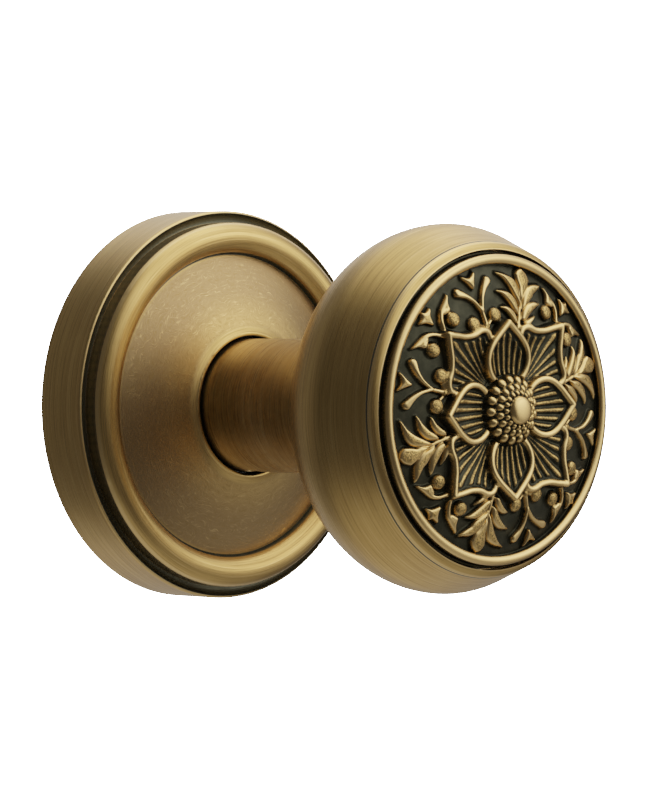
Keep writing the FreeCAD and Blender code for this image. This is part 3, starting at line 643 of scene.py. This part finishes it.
def petal(relief, half_outline, ray, rim_base, rim_slope, hollow_depth, ribs, rib_power):
    """One petal: a thick rounded rim along its outline, and ribs on the hollow floor within.
    ribs gives, for a point (t, s), its phase across the ribs in turns, and a high rib_power makes
    the ribs narrower than the gaps between them."""
    outline = relief.place(both_sides(half_outline), ray)
    where = relief.near(outline, 1.0)
    inside = relief.inside_by(where, outline)
    a = math.radians(ray)
    t = relief.x[where] * math.cos(a) + relief.y[where] * math.sin(a)
    s = -relief.x[where] * math.sin(a) + relief.y[where] * math.cos(a)
    rim_top = rim_base + rim_slope * (t - DOME_EDGE)
    rim, crest = petal_rim(rim_top, inside)
    rib = (0.5 + 0.5 * np.cos(2 * math.pi * ribs(t, s))) ** rib_power
    rib_fade = smooth(0.55, 1.15, inside)
    hollow = rim_top - hollow_depth - 0.25 * smooth(0.6, 2.4, inside) + RIB_HEIGHT * rib * rib_fade
    inwards = smooth(RIM_INNER_SIDE, 1.25 * PETAL_RIM, inside)
    within = inside > RIM_INNER_SIDE
    height = np.where(within, rim + (hollow - rim) * inwards, rim)
    rubbed_rim = smooth(0.35, 0.85, crest)
    rubbed_rib = 0.58 * smooth(0.30, 0.85, rib) * rib_fade
    rubbed = np.where(within, rubbed_rim * (1 - inwards) + rubbed_rib * inwards, rubbed_rim)
    relief.height[where[within]] = height[within]
    relief.rubbed[where[within]] = rubbed[within]
    relief.grained[where[within]] = 0.35 * inwards[within]
    around = ~within & (inside > -1.0)
    relief.raise_to(where[around], height[around], rubbed[around])


SPRAY_LEAVES = (
    # centre leaf
    (((17.2, -0.1), (18.3, 0.25), (19.3, 0.3)), ((19.3, 0.3), (20.3, 0.75), (21.3, 1.0)),
     ((21.3, 1.0), (22.1, 0.5), (22.5, -0.2)), ((22.5, -0.2), (21.9, -1.2), (20.85, -1.9)),
     ((20.85, -1.9), (19.8, -1.5), (18.9, -0.9), (17.2, -0.1))),
    # three on the side of the nearest front petal
    (((16.4, 0.1), (18.0, 0.25), (19.3, 0.65), (20.35, 1.5), (20.75, 3.2), (20.65, 5.2)),
     ((20.65, 5.2), (20.1, 3.8), (19.05, 2.4), (17.6, 1.15), (16.4, 0.1))),
    (((15.1, 0.35), (16.6, 0.8), (17.5, 1.55), (18.05, 2.65), (18.05, 3.9), (17.8, 5.0)),
     ((17.8, 5.0), (17.35, 3.8), (16.5, 2.4), (15.4, 1.2), (15.1, 0.35))),
    (((13.7, 0.45), (14.9, 1.1), (15.55, 2.0), (15.75, 3.1), (15.4, 4.1)),
     ((15.4, 4.1), (15.05, 3.2), (14.4, 2.15), (13.6, 1.2), (13.7, 0.45))),
    # three on the other side
    (((16.0, -0.3), (18.2, -0.75), (19.7, -1.7), (20.4, -2.8), (20.7, -4.7)),
     ((20.7, -4.7), (19.9, -4.0), (18.9, -2.9)), ((18.9, -2.9), (18.1, -2.45), (17.2, -1.6),
     (16.0, -0.3))),
    (((14.4, -0.3), (15.8, -0.7), (17.0, -1.7), (17.7, -3.0), (17.75, -4.5)),
     ((17.75, -4.5), (16.75, -3.3), (15.6, -2.2), (14.4, -1.1), (14.4, -0.3))),
    (((12.9, -0.6), (13.9, -1.0), (14.9, -2.2), (15.6, -3.5)),
     ((15.6, -3.5), (14.6, -2.8), (13.5, -1.9), (12.9, -0.6))),
)


def spray(relief, ray, flip):
    """Seven leaves on one spine, between a front petal and a back petal."""
    spine = ((12.6, 0.0), (14.8, 0.02), (17.4, -0.05))
    relief.stem(spine, (0.5, 0.34, 0.3), ray, flip, tall=0.62)
    for runs in SPRAY_LEAVES:
        relief.leaf(relief.place(outline_of(*runs), ray, flip), tall=0.88)


def sprig(relief, ray):
    """A forked sprig with round ends, a bud between its branches and two berries at its foot."""
    relief.stem(((13.2, 0.0), (14.8, 0.0), (16.5, 0.0)), (0.50, 0.38, 0.36), ray, tall=0.85)
    relief.berry((13.7, 0.0), ray, reach=0.62, tall=0.85)
    bud = outline_of(
        ((21.9, 1.35), (21.0, 0.75), (19.7, 0.0)),
        ((19.7, 0.0), (21.0, -0.75), (21.9, -1.35)),
        ((21.9, -1.35), (21.35, 0.0), (21.9, 1.35)),
    )
    relief.leaf(relief.place(bud, ray), tall=0.85, edge=0.3)
    for flip in (1, -1):
        branch = ((16.2, 0.05), (17.2, 0.5), (18.2, 1.1), (19.2, 2.1), (20.0, 3.3))
        relief.stem(branch, (0.34, 0.34, 0.38, 0.52, 0.78), ray, flip, tall=0.95)
        relief.berry((14.7, 2.4), ray, flip, reach=1.30, tall=0.95)
        stalk = ((13.6, 0.4), (14.1, 1.1), (14.5, 1.8))
        relief.stem(stalk, (0.3, 0.3, 0.3), ray, flip, tall=0.6)


def corner_curls(relief, ray):
    """Two tendrils from a back petal's corner, each curled round a berry, and a bud beyond."""
    bud = outline_of(
        ((22.4, 0.0), (21.8, 0.55), (21.6, 1.6)),
        ((21.6, 1.6), (20.9, 0.7), (19.7, 0.0)),
        ((19.7, 0.0), (20.9, -0.7), (21.6, -1.6)),
        ((21.6, -1.6), (21.8, -0.55), (22.4, 0.0)),
    )
    relief.leaf(relief.place(bud, ray), tall=0.8, edge=0.3)
    hook = outline_of(
        ((18.7, 3.9), (19.2, 2.5), (20.0, 2.7), (20.25, 4.0), (20.4, 5.5)),
        ((20.4, 5.5), (19.7, 4.5), (18.7, 3.9)),
    )
    for flip in (1, -1):
        tendril = (
            (16.8, 0.1), (17.8, 0.55), (18.9, 1.25), (19.65, 2.2), (19.75, 3.0), (19.2, 3.7)
        )
        relief.stem(tendril, (0.48, 0.38, 0.36, 0.40, 0.48, 0.46), ray, flip, tall=0.98)
        relief.leaf(relief.place(hook, ray, flip), tall=0.85, edge=0.3)
        relief.berry((17.45, 3.15), ray, flip, reach=1.28, tall=1.05)


DOME_FOOT = 5.6
DOME_RADII = (0.0, 2.1, 3.1, 4.4, 5.2, DOME_FOOT, 5.9)
DOME_HEIGHTS = (76.8, 76.7, 76.2, 75.2, 74.3, 73.5, 72.9)
# Each ring of beads: its radius, a bead's radius, the height of its tops, and its turn in beads.
BEAD_RINGS = ((4.75, 0.80, 75.75, 0.5), (3.60, 0.62, 76.45, 0.0), (2.72, 0.44, 76.95, 0.5))
BEAD_PITCH = 2 * math.pi / 17
BEAD_TILT = -0.45
BUTTON = 2.22


def flower_centre(relief):
    """The dome of three rings of beads around a smooth button."""
    where = np.flatnonzero(relief.radius < DOME_FOOT + 0.4)
    radius = relief.radius[where]
    angle = np.arctan2(relief.y[where], relief.x[where])
    base = np.interp(radius, DOME_RADII, DOME_HEIGHTS)
    within = radius < DOME_FOOT
    relief.height[where] = np.where(within, base, np.maximum(base, relief.height[where]))
    relief.rubbed[where] = np.where(within, 0.0, relief.rubbed[where])
    relief.grained[where] = 0.0
    for ring, bead, top, turn in BEAD_RINGS:
        beads_round = angle / BEAD_PITCH - turn
        side = (beads_round - np.round(beads_round)) * BEAD_PITCH * ring
        out = radius - ring
        share = np.hypot(out, side) / bead
        rise = dome(share)
        height = top + BEAD_TILT * out - bead * (1.0 - rise)
        rubbed = smooth(0.25, 0.75, rise) * 0.92
        keep = share < 1.0
        relief.raise_to(where[keep], height[keep], rubbed[keep])
    share = radius / BUTTON
    rise = dome(share, 8)
    height = 76.85 + 0.66 * rise + 0.28 * (1.0 - share**2)
    rubbed = smooth(0.1, 0.5, rise) * 0.97
    keep = share < 1.0
    relief.raise_to(where[keep], height[keep], rubbed[keep])


# Half of each petal's outline, from its root at the dome to its tip, and its rays in degrees.
FRONT_PETAL = ((4.2, 2.2), (5.2, 3.35), (6.6, 4.15), (8.2, 4.35), (9.7, 3.85), (11.1, 2.75),
               (12.4, 1.35), (13.6, 0.0))
FRONT_RAYS = (0, 90, 180, 270)
BACK_PETAL = ((5.0, 1.0), (7.0, 4.6), (9.9, 5.6), (11.4, 6.0), (12.5, 5.3), (13.25, 3.7),
              (14.5, 2.25), (16.0, 1.15), (17.5, 0.0))
BACK_RAYS = (45, 135, 225, 315)
SPRIG_RAYS = (105, 165, 285, 345)
# The sprays' rays, each with the side of it that their first leaves are on.
SPRAY_RAYS = ((75, 1), (15, -1), (255, 1), (195, -1))


def long_ribs(t, s):
    """Ribs that run along a petal and draw together slowly towards its root."""
    return s / (t + 8.0) / 0.0735 + 0.5


def fan_ribs(t, s):
    """Ribs every 10 degrees, fanned out from a point inside the dome."""
    return np.degrees(np.arctan2(s, t - 4.6)) / 10.0


def carve(relief):
    """Works the whole pattern, from what lies deepest to what stands highest."""
    for ray in BACK_RAYS:
        corner_curls(relief, ray)
    for ray in SPRIG_RAYS:
        sprig(relief, ray)
    for ray, flip in SPRAY_RAYS:
        spray(relief, ray, flip)
    for ray in BACK_RAYS:
        petal(relief, BACK_PETAL, ray, rim_base=74.45, rim_slope=0.03, hollow_depth=0.80,
              ribs=fan_ribs, rib_power=0.9)
    for ray in FRONT_RAYS:
        petal(relief, FRONT_PETAL, ray, rim_base=74.90, rim_slope=0.075, hollow_depth=0.95,
              ribs=long_ribs, rib_power=0.8)
    flower_centre(relief)


def disc_grid(count, reach):
    """Points spread evenly over a disc, as a square grid wrapped on to it ring by ring."""
    steps = np.linspace(-1.0, 1.0, count)
    a, b = np.meshgrid(steps, steps)
    wide = np.abs(a) > np.abs(b)
    far = np.where(wide, a, b)
    side = np.where(wide, b, a)
    slope = np.divide(side, far, out=np.zeros_like(far), where=far != 0)
    angle = slope * math.pi / 4
    x = np.where(wide, far * np.cos(angle), far * np.sin(angle))
    y = np.where(wide, far * np.sin(angle), far * np.cos(angle))
    return x * reach, y * reach


def soften(values):
    """Averages each point of the square grid with its neighbours."""
    grid = values.reshape(GRID, GRID)
    around = grid[:-2, 1:-1] + grid[2:, 1:-1] + grid[1:-1, :-2] + grid[1:-1, 2:]
    grid[1:-1, 1:-1] = 0.5 * grid[1:-1, 1:-1] + 0.125 * around
    return grid.ravel()


RIM_HALF = 0.775
RIM_TALL = 0.62
RIM_MIDDLE = 23.375
RIM_FOOT = 71.85
# (radius, height, rubbed) down the rim's wall, over the flange, and over the back to the bore.
BEHIND_RIM = (
    (24.15, 71.3, 0.4), (24.2, 70.75, 0.0), (24.3, 70.6, 0.0), (24.5, 70.6, 0.0),
    (24.6, 70.5, 0.0), (24.6, 68.2, 0.0), (22.2, 68.2, 0.0), (22.0, 68.4, 0.0),
    (5.6, 70.4, 0.0), (5.0, 69.8, 0.0), (5.0, 60.4, 0.0), (4.6, 60.0, 0.0),
    (2.0, 60.0, 0.0), (2.0, 68.0, 0.0),
)
BORE_END = 68.8


def rim_profile():
    """(radius, height, rubbed) from the field's edge over the rim to the bore behind. The rim is
    rubbed further down on its outer side."""
    out = [(FIELD_EDGE, 71.50, 0.15)]
    for degrees in range(165, -1, -15):
        a = math.radians(degrees)
        least = 0.1 if degrees > 90 else 0.6
        rubbed = min(1.0, 1.25 * math.sin(a) + least)
        out.append((RIM_MIDDLE + RIM_HALF * math.cos(a), RIM_FOOT + RIM_TALL * math.sin(a), rubbed))
    return (*out, *BEHIND_RIM)


def worked_face():
    """The cast face's points, as (x, y, height, rubbed, grained) rows, and its faces: the worked
    disc, then a ring of points for each step of the rim's profile, closed by one point."""
    x, y = disc_grid(GRID, FIELD_EDGE)
    relief = Relief(x.ravel(), y.ravel())
    carve(relief)
    disc = (x.ravel(), y.ravel(), soften(relief.height), soften(relief.rubbed), relief.grained)
    rows = [np.stack(disc, 1)]
    order = np.arange(GRID * GRID).reshape(GRID, GRID)
    squares = np.stack([order[:-1, :-1], order[:-1, 1:], order[1:, 1:], order[1:, :-1]], -1)
    faces = squares.reshape(-1, 4).tolist()
    previous = np.concatenate([order[0, :-1], order[:-1, -1], order[-1, :0:-1], order[:0:-1, 0]])
    across, up = x.ravel()[previous] / FIELD_EDGE, y.ravel()[previous] / FIELD_EDGE
    size = len(previous)
    count = order.size
    for radius, height, rubbed in rim_profile():
        levels = (np.full(size, value) for value in (height, rubbed, 0.0))
        rows.append(np.stack([across * radius, up * radius, *levels], 1))
        ring = np.arange(count, count + size)
        quads = np.stack([previous, ring, np.roll(ring, -1), np.roll(previous, -1)], -1)
        faces += quads.tolist()
        previous = ring
        count += size
    rows.append([(0.0, 0.0, BORE_END, 0.0, 0.0)])
    faces += [[int(a), count, int(b)] for a, b in zip(previous, np.roll(previous, -1))]
    return np.concatenate(rows), faces


def face_relief(material):
    """The cast face as one closed mesh in front of the knob's body."""
    rows, faces = worked_face()
    points = np.stack([rows[:, 0], -rows[:, 2], rows[:, 1]], 1) * MM
    mesh = bpy.data.meshes.new("face_relief")
    mesh.from_pydata(points.tolist(), [], faces)
    for name, values in (("rubbed", rows[:, 3]), ("grained", rows[:, 4])):
        layer = mesh.attributes.new(name, "FLOAT", "POINT")
        layer.data.foreach_set("value", values.astype(np.float32))
    mesh.polygons.foreach_set("use_smooth", [True] * len(mesh.polygons))
    mesh.update()
    mesh.materials.append(material)
    piece = bpy.data.objects.new("face_relief", mesh)
    bpy.context.scene.collection.objects.link(piece)
    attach(piece, "knob")
    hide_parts("face_medallion")


# ---------------------------------------------------------------------------------------------
# Camera, floor and light


def from_angles(azimuth, elevation):
    """The unit vector towards a direction: azimuth 0 is in front of the knob and 90 to its right."""
    a, e = math.radians(azimuth), math.radians(elevation)
    return (math.sin(a) * math.cos(e), -math.cos(a) * math.cos(e), math.sin(e))


CAMERA_AZIMUTH = -43.2
CAMERA_ELEVATION = 1.05
CAMERA_DISTANCE = 815.8
CAMERA_TARGET = (2.27, -30.0, 0.17)
CAMERA_LENS = 224.8
CAMERA_SENSOR = 36.0
# In metres: the camera's clipping, half the floor's side, and how far it lies below the rosette.
CAMERA_CLIP = (0.05, 20.0)
FLOOR_HALF = 3.0
FLOOR_GAP = 0.0002
# Bright enough to leave the floor and the room behind plain white in the picture.
PAGE_WHITE = 8.0


def place_camera():
    data = bpy.data.cameras.new("camera")
    data.lens = CAMERA_LENS
    data.sensor_width = CAMERA_SENSOR
    data.clip_start, data.clip_end = CAMERA_CLIP
    camera = bpy.data.objects.new("camera", data)
    back = np.array(from_angles(CAMERA_AZIMUTH, CAMERA_ELEVATION))
    camera.location = np.array(CAMERA_TARGET) * MM + back * CAMERA_DISTANCE * MM
    camera.rotation_mode = "QUATERNION"
    camera.rotation_quaternion = Vector(-back).to_track_quat("-Z", "Y")
    bpy.context.scene.collection.objects.link(camera)
    bpy.context.scene.camera = camera


def white_floor():
    """A plain floor under the rosette, lit so evenly that it shows no shade."""
    material, net = new_material("floor_white")
    glow = net.add("Emission")
    glow.inputs["Strength"].default_value = PAGE_WHITE
    net.finish(net.seen_or_not(glow, net.add("BsdfTransparent")))
    low = cad_box[0][2] - FLOOR_GAP
    signs = ((-1, -1), (1, -1), (1, 1), (-1, 1))
    mesh = bpy.data.meshes.new("floor")
    mesh.from_pydata([(a * FLOOR_HALF, b * FLOOR_HALF, low) for a, b in signs], [], [(0, 1, 2, 3)])
    mesh.materials.append(material)
    floor = bpy.data.objects.new("floor", mesh)
    bpy.context.scene.collection.objects.link(floor)


# The studio's soft panels: azimuth and elevation of the middle, cosine at the edge and where the
# panel is full, strength, tint.
NEUTRAL = (1.0, 1.0, 1.0)
WARM = (1.0, 0.98, 0.95)
STUDIO = (
    (30, 48, 0.57, 0.93, 1.02, NEUTRAL),
    (130, 68, 0.743, 0.96, 0.75, NEUTRAL),
    (132, 24, 0.79, 0.97, 0.55, NEUTRAL),
    (40, 10, 0.866, 0.985, 0.60, NEUTRAL),
    (45, -25, 0.766, 0.978, 0.22, WARM),
    (180, -85, 0.57, 0.94, 0.28, WARM),
    (150, -30, 0.79, 0.978, 0.22, WARM),
    (-178, 5, 0.64, 0.966, 0.07, NEUTRAL),
)
STUDIO_BASE = 0.045


def studio_light():
    """A dim white room with soft white panels above, below, behind and to the right."""
    world = bpy.data.worlds.new("studio")
    world.use_nodes = True
    net = Net(world.node_tree)
    direction = net.add("TexCoord").outputs["Generated"]
    total = (STUDIO_BASE,) * 3
    for azimuth, elevation, edge, full, strength, tint in STUDIO:
        facing = net.vector("DOT_PRODUCT", direction, from_angles(azimuth, elevation))
        level = net.remap(facing, edge, full, 0.0, strength)
        total = net.vector("ADD", net.vector("SCALE", tint, level), total)
    room = net.add("Background")
    net.feed(room.inputs["Color"], total)
    page = net.add("Background")
    page.inputs["Strength"].default_value = PAGE_WHITE
    page.inputs["Color"].default_value = (*NEUTRAL, 1.0)
    net.finish(net.seen_or_not(page, room), "OutputWorld")
    bpy.context.scene.world = world


# (scene light, light in the picture): open middle tones and a long soft shoulder.
TONES = ((0.0, 0.0), (0.02, 0.037), (0.05, 0.097), (0.10, 0.19), (0.20, 0.345), (0.35, 0.51),
         (0.60, 0.68), (1.0, 0.83))


def print_tones():
    """Gives the picture a photographic print's tones, by the curve for all three colours."""
    settings = bpy.context.scene.view_settings
    settings.view_transform = "Standard"
    settings.use_curve_mapping = True
    curve = settings.curve_mapping.curves[3]
    curve.points[0].location = TONES[0]
    curve.points[1].location = TONES[-1]
    for point in TONES[1:-1]:
        curve.points.new(*point)
    settings.curve_mapping.update()


finishes = give_finishes()
face_relief(finishes["face_medallion"])
place_camera()
white_floor()
studio_light()
print_tones()
